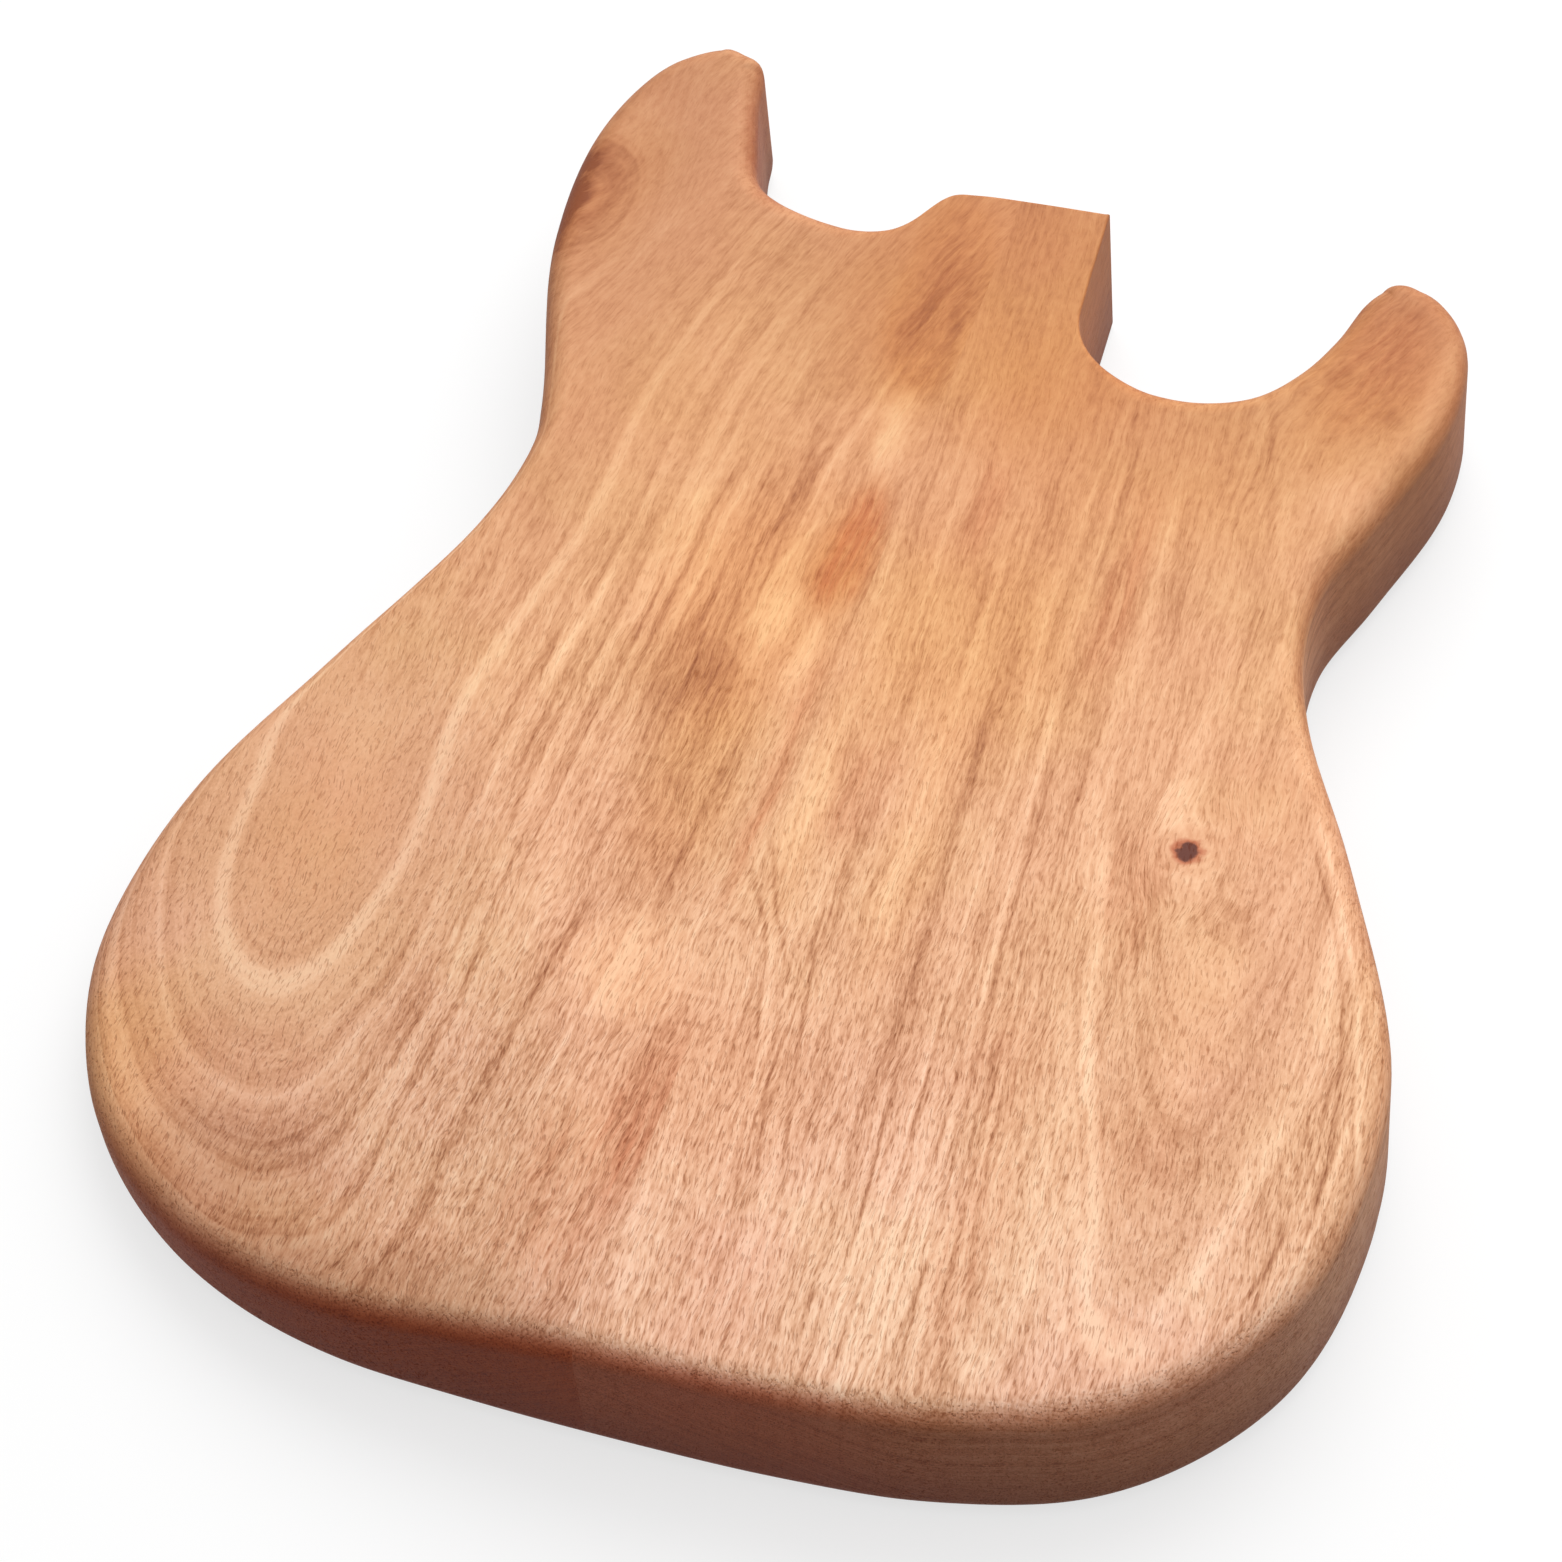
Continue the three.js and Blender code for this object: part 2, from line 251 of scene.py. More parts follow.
# The pale patch at (38, 343) is painted light on the heel's side wall.
treble_pale = [(4, 162, 6, 42, -2, 0.2), (31, 170, 8, 44, 0, 0.16), (52, 40, 24, 70, 0, 0.26),
               (14, 30, 26, 40, 0, 0.14), (-2, 42, 5, 44, 0, 0.14), (13, 26, 8, 32, 0, -0.12),
               (26, 48, 4, 44, 0, 0.12), (111, 32, 14, 8, 0, 0.24), (112, 122, 12, 32, 0, 0.1),
               (92, 182, 6, 12, 0, 0.2), (88, 152, 10, 28, 8, -0.08), (112, 147, 14, 9, -20, -0.14),
               (106, 85, 20, 18, 0, -0.06), (15, 167, 8, 24, 0, -0.08), (85, 45, 32, 50, 0, 0.16),
               (64, 242, 7, 40, 0, -0.08), (24, 262, 4, 20, 0, -0.08), (109, 285, 10, 16, -20, 0.14),
               (129, 325, 5, 30, -8, 0.16), (112, 335, 14, 24, -15, -0.06),
               (104, 322, 6, 8, -30, -0.1), (118, 312, 6, 7, 0, -0.1), (38, 343, 5, 30, 0, 0.6)]
treble_red = [(112, 328, 18, 34, -15, 0.3), (74, 48, 10, 50, 0, 0.35), (15, 167, 12, 32, 0, 0.3),
              (70, 98, 14, 26, 0, 0.2), (104, 80, 24, 26, 0, 0.2), (64, 242, 7, 40, 0, 0.4),
              (24, 262, 6, 24, 0, 0.3), (88, 152, 11, 30, 8, 0.25), (112, 185, 20, 26, 0, 0.2),
              (20, 28, 22, 34, 0, 0.2)]
treble_amber = [(20, 335, 55, 75, 0, 0.9), (112, 325, 30, 46, -10, 0.8), (60, 290, 60, 50, 0, 0.5),
                (30, 220, 50, 60, 0, 0.6), (33, 150, 12, 60, 0, 0.3), (5, 160, 8, 50, 0, 0.3),
                (111, 122, 16, 40, 0, 0.2), (111, 31, 16, 12, 0, 0.3), (0, 75, 40, 40, 0, 0.3)]
# Painted shade towards the heel and the treble horn, partly the wood's own darker tone.
treble_painted_shade = [(125, 350, 40, 26, 0, 0.25), (60, 300, 60, 40, 0, 0.2), (12, 350, 40, 40, 0, 0.15)]
treble_calm = [(118, 110, 34, 120, 0, 0.4), (118, 325, 34, 50, 0, 1), (30, 330, 60, 80, 0, 0.4)]
treble_lined = [(60, 50, 40, 90, 0, 1), (15, 100, 24, 50, 0, 0.7), (45, 270, 50, 50, 0, 0.7)]

# Noise of the grain: cells per millimetre, detail, roughness, and the cells along the fibre as a share.
wander_noise = (0.03, 3, 0.5, 0.5)
waver_noise = (0.09, 2, 0.5, 0.6)
streak_noise = (0.45, 2, 0.6, 0.05)
thread_noise = (1, 2, 0.6, 0.018)
ribbon_noise = (0.2, 2, 0.5, 0.16)
stipple_noise = (0.6, 2, 0.6, 0.4)
scratch_noise = (1.7, 2, 0.6, 0.16)
dot_noise = (1.7, 2, 0.6, 0.55)
fray_noise = (0.5, 3, 0.65, 0.06)
pore_noise = (2.2, 1, 0.5, 0.13)
cloud_noise = (0.035, 3, 0.5, 0.6)
blush_noise = (0.018, 3, 0.5, 1)
wander_reach = 7
waver_reach = 4

# Noise from ring to ring: cells per millimetre, detail and roughness.
thin_ring_noise = (0.5, 3, 0.6)
layer_noise = (0.17, 3, 0.65)
hair_line_noise = (0.8, 2, 0.6)
knot_ring_noise = (0.25, 2, 0.5)

# Noise that moves the patches and the knots' hearts: cells per millimetre, and how far it moves them.
patch_jostle = (0.05, (6, 16, 0))
heart_jostle = (0.3, (5, 5, 0))

# Fades: start, end and, where they aren't 0 and 1, the values there.
crisp_along = (30, 330, 1.45, 0.38)
stipple_along = (100, 300, 0.3, 1)
faint_at_waist = (205, 290, 0, 0.35)
faint_at_horns = (300, 350, 0, 0.45)
fray_range = (0.3, 0.7, 0.5, 1.5)
fray_below = (2, 34, 1, 0.15)
layers_below = (3, 10)
layers_on_side = (0, 1, 1, 0.35)
rough_when_calm = (0, 1, 0.45, 1)
pore_range = (0.55, 0.7)
pore_roughness = (0, 1, 0.6, 0.8)
blush_range = (0.35, 0.65)
end_turn = (0.3, 0.95)
side_turn = (0.35, 0.95)
far_end_across = (30, 110)
# Painted shade: how far below the front the walls start and stop darkening towards the back.
painted_low_shade_below = (12, 52)

# The most that a calm patch takes away from the streaks.
calmest = 0.85

# How much each kind of figure changes the wood's level, which starts a little below 0.
start_level = -0.23
weights = {"pale": 1, "knots": 0.7, "veins": 1, "bands": 1, "thin": 0.14, "streaks": 0.4, "ribbons": 0.5,
           "clouds": 0.3, "stipple": 0.48, "threads": 0.5, "lined": 0.55, "hair": 0.32, "scratches": 0.85,
           "layers": 0.7}

# Wood colours: from the darkest streaks to the palest, and from the tail to the heel, where the paler,
# whiter tail is partly the wood's own tone and partly a painted sheen.
wood_tones = [(0.0, (0.4, 0.16, 0.075)), (0.25, (0.6, 0.3, 0.17)), (0.5, (0.79, 0.46, 0.3)),
              (0.75, (0.9, 0.58, 0.41)), (1.0, (0.96, 0.68, 0.5))]
length_tone_and_sheen_tints = [(0.0, (1.0, 1.0, 1.0)), (0.25, (1.0, 0.95, 0.85)), (0.5, (0.98, 0.9, 0.71)),
                (0.65, (0.9, 0.77, 0.56)), (0.8, (0.8, 0.66, 0.48)), (0.92, (0.74, 0.59, 0.43))]

# Tints that are multiplied into those colours, and the colour of the knots' hearts.
red_tint = (0.86, 0.62, 0.52, 1)
amber_tint = (0.95, 0.82, 0.6, 1)
# The colour of painted shade, laid on by the shade patches.
painted_shade_tint = (0.68, 0.58, 0.5, 1)
yellow_blush = (1, 0.99, 0.93, 1)
pink_blush = (1, 0.95, 0.96, 1)
pore_tint = (0.6, 0.44, 0.36, 1)
pore_strength = 0.42
knot_halo_tint = (0.78, 0.58, 0.46, 1)
knot_halo_strength = 0.4
knot_ring_tint = (0.7, 0.42, 0.34, 1)
knot_heart_colour = (0.13, 0.03, 0.015, 1)
# Painted shade, a contact shadow that darkens the walls towards the back.
painted_low_shade_tint = (0.5, 0.36, 0.34, 1)
# Painted shade on the walls that face the sides.
painted_side_shade_tint = (0.92, 0.8, 0.76, 1)
# The tail's end grain: redder, darker wood deepened with painted shade, and on the treble side paler towards
# its far edge as painted light.
bass_end_grain_and_shade_tint = (0.76, 0.29, 0.155, 1)
treble_end_grain_and_shade_tint = (0.85, 0.42, 0.32, 1)
treble_far_end_grain_and_light_tint = (1, 0.74, 0.6, 1)
neck_end_tint = (0.84, 0.68, 0.6, 1)

# The sanded surface: its gloss, and its bumps with their height in metres.
gloss = 0.3
bump_strength = 0.5
bump_height = 0.0002
scratch_bump = -0.6


def deselect():
    bpy.ops.object.select_all(action="DESELECT")


def pick(piece):
    """Selects one object and nothing else."""
    deselect()
    piece.select_set(True)
    bpy.context.view_layer.objects.active = piece


def smooth(t):
    """Rises from 0 to 1 with level ends."""
    t = min(max(t, 0), 1)
    return t * t * (3 - 2 * t)


def outline_from_walls():
    """The body's outline, read off the upright edges of the CAD boards' walls."""
    shortest_wall = thickness / 10
    near = edge_radius / 100
    found = []
    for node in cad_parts.values():
        corners = node.data.vertices
        own = []
        for edge in node.data.edges:
            one, other = (corners[i].co for i in edge.vertices)
            if (one - other).xy.length < near and abs(one.z - other.z) > shortest_wall:
                if all((one.xy - p).length > near for p in own):
                    own.append(one.xy)
        found.append(own)
    bass, treble = found
    loop = [p for p in bass if all((p - q).length > near for q in treble)]
    loop += [p for p in treble if all((p - q).length > near for q in bass)]
    ring = [loop.pop(0)]
    while loop:
        ring.append(loop.pop(min(range(len(loop)), key=lambda i: (loop[i] - ring[-1]).length)))
    return ring


def smoothed_wire(ring):
    """A wire through the outline's points, curved between them and sharp at the heel's corners."""
    deselect()
    bpy.ops.mesh.primitive_circle_add(vertices=len(ring), radius=cad_high.x)
    wire = bpy.context.object
    for vertex, place in zip(wire.data.vertices, ring):
        vertex.co = (place.x, place.y, 0)
    bpy.ops.object.convert(target="CURVE")
    bpy.ops.object.mode_set(mode="EDIT")
    bpy.ops.curve.select_all(action="SELECT")
    bpy.ops.curve.spline_type_set(type="BEZIER")
    bpy.ops.curve.handle_type_set(type="AUTOMATIC")
    bpy.ops.curve.select_all(action="DESELECT")
    points = wire.data.splines[0].bezier_points
    for i, point in enumerate(points):
        after = points[(i + 1) % len(points)].co - point.co
        point.select_control_point = (point.co - points[i - 1].co).angle(after) > heel_corner_angle
    bpy.ops.curve.handle_type_set(type="VECTOR")
    bpy.ops.object.mode_set(mode="OBJECT")
    wire.data.resolution_u = wire_fineness
    bpy.ops.object.convert(target="MESH")
    wire = bpy.context.object
    wire.data.validate()
    for vertex in wire.data.vertices:  # Kept inside the CAD's box.
        vertex.co.x = min(max(vertex.co.x, cad_low.x), cad_high.x)
        vertex.co.y = min(max(vertex.co.y, cad_low.y), cad_high.y)
    return wire


def edge_radius_at(place):
    """The round-over's radius: full nearly all round, and only an ease at the crisp heel."""
    x, y = place.x - neck_centre, place.y - tail_line
    past = max(crisp_bass - x, x - crisp_treble)
    full = 1 if y < heel_reach / 2 else smooth(past / crisp_fade)
    return heel_ease + (edge_radius - heel_ease) * full


def winding(corners):
    """1 if the closed outline runs anticlockwise, and -1 if it runs clockwise."""
    return math.copysign(1, sum(corners[i - 1].xy.cross(corners[i].xy) for i in range(len(corners))))


def outward_directions(corners):
    """Level directions out of the closed outline, one for each of its corners."""
    side = winding(corners)
    outward = []
    for i in range(len(corners)):
        along = (corners[(i + 1) % len(corners)] - corners[i - 1]).normalized()
        outward.append(Vector((along.y, -along.x, 0)) * side)
    return outward


def round_over_radii(corners):
    """The round-over's radius at each corner: where the outline bends tightly, a share of the bend."""
    side = winding(corners)
    radii = []
    for i, here in enumerate(corners):
        before = here - corners[i - bend_reach]
        after = corners[(i + bend_reach) % len(corners)] - here
        turn = before.xy.cross(after.xy) * side
        radius = edge_radius_at(here)
        if turn > 0:
            bend = before.length * after.length * (before + after).length / (2 * turn)
            radius = min(radius, bend * bend_share)
        radii.append(radius)
    return radii


def close_flat(piece, height):
    """Fills the open ring that lies at one height, with a narrow flat rim round the face."""
    bpy.ops.object.mode_set(mode="EDIT")
    bpy.ops.mesh.select_all(action="DESELECT")
    bpy.ops.object.mode_set(mode="OBJECT")
    for vertex in piece.data.vertices:
        vertex.select = abs(vertex.co.z - height) < heel_ease / 100
    bpy.ops.object.mode_set(mode="EDIT")
    bpy.ops.mesh.edge_face_add()
    bpy.ops.mesh.inset(thickness=flat_rim)
    bpy.ops.object.mode_set(mode="OBJECT")


def rounded_slab(wire):
    """Extrudes the outline's wire ring by ring over the front edge, down the wall and round the back."""
    mesh = wire.data
    corners = [vertex.co.copy() for vertex in mesh.vertices]
    outward = outward_directions(corners)
    radii = round_over_radii(corners)
    number = mesh.attributes.new("corner", "INT", "POINT")
    number.data.foreach_set("value", range(len(corners)))
    turns = [math.pi / 2 * k / edge_segments for k in range(edge_segments, -1, -1)]
    steps = [(turn, True) for turn in turns] + [(turn, False) for turn in reversed(turns)]
    pick(wire)
    for step, (turn, front) in enumerate(steps):
        bpy.ops.object.mode_set(mode="EDIT")
        if step:
            bpy.ops.mesh.extrude_edges_move()
        else:
            bpy.ops.mesh.select_mode(type="VERT")
            bpy.ops.mesh.select_all(action="SELECT")
        bpy.ops.object.mode_set(mode="OBJECT")
        numbers = mesh.attributes["corner"].data
        for vertex in mesh.vertices:
            if vertex.select:
                i = numbers[vertex.index].value
                lift = radii[i] * (1 - math.sin(turn))
                vertex.co = corners[i] - outward[i] * radii[i] * (1 - math.cos(turn))
                vertex.co.z = thickness - lift if front else lift
    close_flat(wire, 0)
    close_flat(wire, thickness)
    mesh.attributes.remove(mesh.attributes["corner"])
    bpy.ops.object.mode_set(mode="EDIT")
    bpy.ops.mesh.select_all(action="SELECT")
    bpy.ops.mesh.normals_make_consistent(inside=False)
    bpy.ops.object.mode_set(mode="OBJECT")
    return wire


def cut(piece, chosen, place, across):
    """Cuts new edges where a plane crosses the faces that the test picks by their centre."""
    pick(piece)
    bpy.ops.object.mode_set(mode="EDIT")
    bpy.ops.mesh.select_mode(type="FACE")
    bpy.ops.mesh.select_all(action="DESELECT")
    bpy.ops.object.mode_set(mode="OBJECT")
    for face in piece.data.polygons:
        face.select = chosen(face.center)
    bpy.ops.object.mode_set(mode="EDIT")
    bpy.ops.mesh.bisect(plane_co=place, plane_no=across)
    bpy.ops.object.mode_set(mode="OBJECT")


def front_drop(x, y):
    """How far the forearm contour lowers the front: a blend that curves into an even slope."""
    past = arm_shift - (x - neck_centre) * math.cos(arm_angle) - (y - tail_line) * math.sin(arm_angle)
    if past <= 0:
        return 0
    if past < arm_blend:
        return arm_fall * past * past / (2 * arm_blend)
    return arm_fall * (past - arm_blend / 2)


def back_rise(x, y):
    """How far the belly cut raises the back, deepest at the bass waist's edge."""
    along = smooth(abs(y - tail_line - belly_height) / belly_half_length)
    across = min(max((neck_centre - x - belly_inset) / belly_reach, 0), 1)
    return belly_depth * across * across * (1 - along)


def shape_contours(body):
    """Cuts the front and back finely enough for the two contours, then moves the skin to them."""
    middle = thickness / 2
    above = middle - flat_rim
    below = middle + flat_rim
    arm_across = Vector((-math.cos(arm_angle), -math.sin(arm_angle), 0))
    arm_start = Vector((neck_centre, tail_line, 0)) - arm_across * arm_shift
    for step in range(round(arm_blend / arm_step) + 1):
        cut(body, lambda c: c.z > above, arm_start + arm_across * step * arm_step, arm_across)
    belly_edge = neck_centre - belly_inset
    for step in range(math.ceil((belly_edge - cad_low.x) / belly_step)):
        cut(body, lambda c: c.z < flat_rim or c.z < below and c.x < neck_centre,
            (belly_edge - step * belly_step, 0, 0), (1, 0, 0))
    low = tail_line + belly_height - belly_half_length
    for step in range(round(2 * belly_half_length / belly_step) + 1):
        cut(body, lambda c: c.z < below and c.x < belly_edge, (0, low + step * belly_step, 0), (0, 1, 0))
    for vertex in body.data.vertices:
        x, y, z = vertex.co
        vertex.co.z = z - front_drop(x, y) if z > middle else z + back_rise(x, y)


def board_of(body, name, treble_side):
    """A copy of the body, cut off at the glue seam and closed there."""
    at_tail = Vector((neck_centre + seam_tail, tail_line, 0))
    at_heel = Vector((neck_centre + seam_heel, tail_line + heel_reach, 0))
    along = (at_heel - at_tail).normalized()
    pick(body)
    bpy.ops.object.duplicate()
    board = bpy.context.object
    board.name = board.data.name = name
    bpy.ops.object.mode_set(mode="EDIT")
    bpy.ops.mesh.select_mode(type="FACE")
    bpy.ops.mesh.select_all(action="SELECT")
    bpy.ops.mesh.bisect(plane_co=at_tail, plane_no=(along.y, -along.x, 0), use_fill=True,
                        clear_inner=treble_side, clear_outer=not treble_side)
    bpy.ops.object.mode_set(mode="OBJECT")
    bpy.ops.object.shade_smooth_by_angle(angle=heel_corner_angle)
    return board


def feed(tree, source, socket):
    """Links one node's result into a socket, or writes a plain value there."""
    if isinstance(source, bpy.types.NodeSocket):
        tree.links.new(source, socket)
    else:
        socket.default_value = source


def calc(tree, operation, *terms):
    """The result of one Math node."""
    node = tree.nodes.new("ShaderNodeMath")
    node.operation = operation
    for term, socket in zip(terms, node.inputs):
        feed(tree, term, socket)
    return node.outputs[0]


def product(tree, one, other):
    return calc(tree, "MULTIPLY", one, other)


def centred(tree, noise):
    """Noise from 0 to 1, moved so that its middle is 0."""
    return calc(tree, "SUBTRACT", noise, 0.5)


def fade(tree, value, start, end, low=0, high=1):
    """Turns smoothly from low at start to high at end."""
    node = tree.nodes.new("ShaderNodeMapRange")
    node.interpolation_type = "SMOOTHSTEP"
    feed(tree, value, node.inputs["Value"])
    feed(tree, start, node.inputs["From Min"])
    feed(tree, end, node.inputs["From Max"])
    feed(tree, low, node.inputs["To Min"])
    feed(tree, high, node.inputs["To Max"])
    return node.outputs[0]


def lerp(tree, amount, one, other):
    """A number between two others."""
    node = tree.nodes.new("ShaderNodeMix")
    feed(tree, amount, node.inputs[0])
    feed(tree, one, node.inputs[2])
    feed(tree, other, node.inputs[3])
    return node.outputs[0]


def tint(tree, amount, one, other, blend="MIX"):
    """A colour laid over another one."""
    node = tree.nodes.new("ShaderNodeMix")
    node.data_type = "RGBA"
    node.blend_type = blend
    feed(tree, amount, node.inputs[0])
    feed(tree, one, node.inputs[6])
    feed(tree, other, node.inputs[7])
    return node.outputs[2]


def tinted(tree, colour, amount, other):
    """A colour with another one multiplied into it by an amount."""
    return tint(tree, amount, colour, other, "MULTIPLY")


def traced(tree, value, points, low, high):
    """A smooth curve through the points (along, across), read at a value along the body."""
    node = tree.nodes.new("ShaderNodeFloatCurve")
    curve = node.mapping.curves[0]
    node.mapping.use_clip = False
    for i, (along, across) in enumerate(points):
        place = along / plan_length, (across - low) / (high - low)
        if i < len(curve.points):
            curve.points[i].location = place
        else:
            curve.points.new(*place)
    node.mapping.update()
    feed(tree, calc(tree, "DIVIDE", value, plan_length), node.inputs["Value"])
    return calc(tree, "MULTIPLY_ADD", node.outputs[0], high - low, low)


def noise_node(tree, scale, detail, roughness=0.5):
    node = tree.nodes.new("ShaderNodeTexNoise")
    node.inputs["Scale"].default_value = scale
    node.inputs["Detail"].default_value = detail
    node.inputs["Roughness"].default_value = roughness
    return node


def mottle(tree, place, scale, detail, roughness, along):
    """Noise from 0 to 1, drawn out along the fibre where along is below 1."""
    mapping = tree.nodes.new("ShaderNodeMapping")
    mapping.inputs["Scale"].default_value = (scale, scale * along, scale)
    feed(tree, place, mapping.inputs["Vector"])
    node = noise_node(tree, 1, detail, roughness)
    feed(tree, mapping.outputs[0], node.inputs["Vector"])
    return node.outputs["Fac"]


def rings(tree, growth, scale, detail, roughness):
    """Noise from 0 to 1 that changes only from growth ring to growth ring."""
    node = noise_node(tree, scale, detail, roughness)
    node.noise_dimensions = "1D"
    feed(tree, growth, node.inputs["W"])
    return node.outputs["Fac"]


def ramp(tree, value, stops, interpolation="LINEAR"):
    """A colour that runs through the stops of (position, colour)."""
    node = tree.nodes.new("ShaderNodeValToRGB")
    colours = node.color_ramp
    colours.interpolation = interpolation
    while len(colours.elements) < len(stops):
        colours.elements.new(1)
    for element, (position, colour) in zip(colours.elements, stops):
        element.position = position
        element.color = (*colour, 1)
    feed(tree, value, node.inputs[0])
    return node.outputs[0]


def banded(tree, growth, levels):
    """A grey level for each growth ring, from stops of (ring, level)."""
    stops = [(ring / ring_span, (level, level, level)) for ring, level in levels]
    return ramp(tree, calc(tree, "DIVIDE", growth, ring_span), stops, "EASE")


def new_finish(name):
    finish = bpy.data.materials.new(name)
    finish.use_nodes = True
    return finish, finish.node_tree


def plan_place(tree):
    """The point in millimetres from the centreline, the tail and the back."""
    coordinates = tree.nodes.new("ShaderNodeTexCoord")
    mapping = tree.nodes.new("ShaderNodeMapping")
    mapping.inputs["Scale"].default_value = (per_metre, per_metre, per_metre)
    mapping.inputs["Location"].default_value = (-neck_centre * per_metre, -tail_line * per_metre, 0)
    feed(tree, coordinates.outputs["Object"], mapping.inputs["Vector"])
    parts = tree.nodes.new("ShaderNodeSeparateXYZ")
    feed(tree, mapping.outputs[0], parts.inputs[0])
    return parts.outputs[0], parts.outputs[1], parts.outputs[2]


def contour_drop(tree, x, y):
    """How far the forearm contour lies below the flat front."""
    blend = arm_blend * per_metre
    past = calc(tree, "MULTIPLY_ADD", x, -math.cos(arm_angle), arm_shift * per_metre)
    past = calc(tree, "MAXIMUM", calc(tree, "MULTIPLY_ADD", y, -math.sin(arm_angle), past), 0)
    curved = calc(tree, "MINIMUM", past, blend)
    straight = calc(tree, "SUBTRACT", past, curved)
    bend = product(tree, curved, curved)
    return product(tree, calc(tree, "MULTIPLY_ADD", bend, 1 / (2 * blend), straight), arm_fall)


def from_parts(tree, x, y, z):
    """A point put together from its three numbers."""
    node = tree.nodes.new("ShaderNodeCombineXYZ")
    for value, socket in zip((x, y, z), node.inputs):
        feed(tree, value, socket)
    return node.outputs[0]


def jostled(tree, place, scale, sway):
    """The place, moved about by smooth noise, so that what is drawn there gets uneven edges."""
    node = noise_node(tree, scale, 3)
    feed(tree, place, node.inputs["Vector"])
    move = tree.nodes.new("ShaderNodeVectorMath")
    move.operation = "MULTIPLY_ADD"
    feed(tree, node.outputs["Color"], move.inputs[0])
    move.inputs[1].default_value = sway
    feed(tree, place, move.inputs[2])
    centre = tree.nodes.new("ShaderNodeVectorMath")
    centre.operation = "SUBTRACT"
    feed(tree, move.outputs[0], centre.inputs[0])
    centre.inputs[1].default_value = [s / 2 for s in sway]
    return centre.outputs[0]


def sunken(tree, place, z, depth):
    """The same place, with the depth below the front where its height above the back was."""
    node = tree.nodes.new("ShaderNodeVectorMath")
    node.operation = "ADD"
    feed(tree, place, node.inputs[0])
    feed(tree, from_parts(tree, 0, 0, calc(tree, "SUBTRACT", depth, z)), node.inputs[1])
    return node.outputs[0]


def swayed(tree, value, noise, reach):
    """A value moved to and fro by noise."""
    return calc(tree, "MULTIPLY_ADD", centred(tree, noise), reach, value)


def patch(tree, place, x, y, half_width, half_length, lean=0, full=patch_full, half_depth=per_metre):
    """1 in the middle of a soft oval patch, and 0 outside it."""
    mapping = tree.nodes.new("ShaderNodeMapping")
    mapping.vector_type = "TEXTURE"
    mapping.inputs["Location"].default_value = (x, y, 0)
    mapping.inputs["Rotation"].default_value = (0, 0, math.radians(lean))
    mapping.inputs["Scale"].default_value = (half_width, half_length, half_depth)
    feed(tree, place, mapping.inputs["Vector"])
    ball = tree.nodes.new("ShaderNodeTexGradient")
    ball.gradient_type = "SPHERICAL"
    feed(tree, mapping.outputs[0], ball.inputs[0])
    return fade(tree, ball.outputs["Fac"], 0, full)


def patches(tree, place, rows, half_depth=per_metre):
    """All patches of one kind together, each with its own strength."""
    total = 0
    for x, y, half_width, half_length, lean, strength in rows:
        spot = patch(tree, place, x, y, half_width, half_length, lean, half_depth=half_depth)
        total = calc(tree, "MULTIPLY_ADD", spot, strength, total)
    return total


def vein(tree, x, y, half_width, points):
    """1 on a line through the points, 0 beside it, and fading out past its two ends."""
    start, end = points[0][0], points[-1][0]
    low = min(across for along, across in points) - vein_end
    high = max(across for along, across in points) + vein_end
    aside = calc(tree, "ABSOLUTE", calc(tree, "SUBTRACT", x, traced(tree, y, points, low, high)))
    on_line = fade(tree, aside, 0, half_width, 1, 0)
    on_line = product(tree, on_line, fade(tree, y, start - vein_end, start))
    return product(tree, on_line, fade(tree, y, end, end + vein_end, 1, 0))


def ring_distance(tree, across, down, depth):
    """Distance from the heart of a nest of rings, which widen down the board and into its depth."""
    total = calc(tree, "MULTIPLY_ADD", across, across, down)
    return calc(tree, "SQRT", calc(tree, "MULTIPLY_ADD", depth, ring_dip, total))


def bass_growth(tree, x, y, depth):
    """Rings of the bass board: nested loops in the lower bout, and lines that lean in towards the seam."""
    across = calc(tree, "SUBTRACT", x, traced(tree, y, loop_middle, *loop_span))
    down = calc(tree, "MULTIPLY_ADD", y, -1 / loop_length, loop_end / loop_length)
    down = calc(tree, "MAXIMUM", down, 0)
    loops = ring_distance(tree, across, product(tree, down, down), depth)
    lines = calc(tree, "ADD", calc(tree, "SUBTRACT", x, seam_lean(tree, x, y)), seam_rings)
    lines = calc(tree, "MULTIPLY_ADD", depth, line_dip, lines)
    return lerp(tree, fade(tree, x, *loops_to_lines), loops, lines)


def seam_lean(tree, x, y):
    """How far the grain of the bass board leans over towards the seam, whatever x is."""
    return traced(tree, y, bass_lean, *lean_span)


def horn_shift(tree, x, y):
    """How far the grain of the treble board swings out into its horn."""
    return product(tree, traced(tree, y, treble_horn_lean, *lean_span), fade(tree, x, *horn_side))


